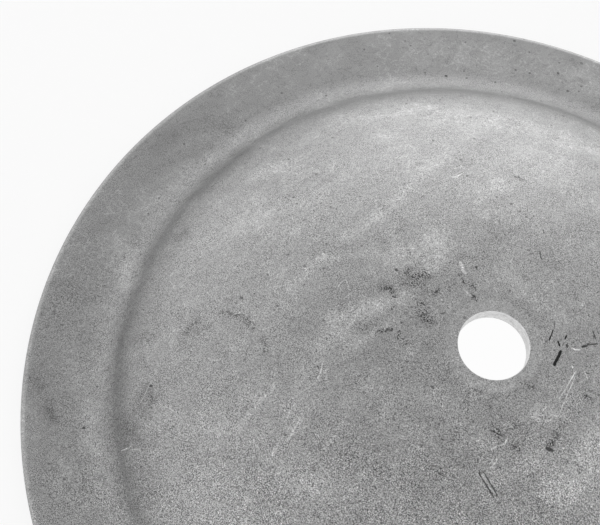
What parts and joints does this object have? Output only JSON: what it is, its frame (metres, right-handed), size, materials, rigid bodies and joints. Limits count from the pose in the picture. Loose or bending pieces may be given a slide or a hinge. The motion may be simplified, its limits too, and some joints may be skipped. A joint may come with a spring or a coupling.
{
  "type": "bell cymbal",
  "caption": "Thick domed percussion bell of raw cast aluminium, with a flat flange and a stand hole at the crown, struck with a stick.",
  "frame": {"origin": "centre of the flange's flat underside, on the axis of revolution", "axes": "+Z along the axis of revolution, from the open underside towards the crown; the part is turned, so X and Y are alike"},
  "size_m": [0.17, 0.17, 0.0341],
  "materials": {
    "cast_aluminium": "raw matte casting, tumbled, with handling marks"
  },
  "bodies": {
    "root": {"bell": "cast_aluminium"}
  },
  "joints": []
}
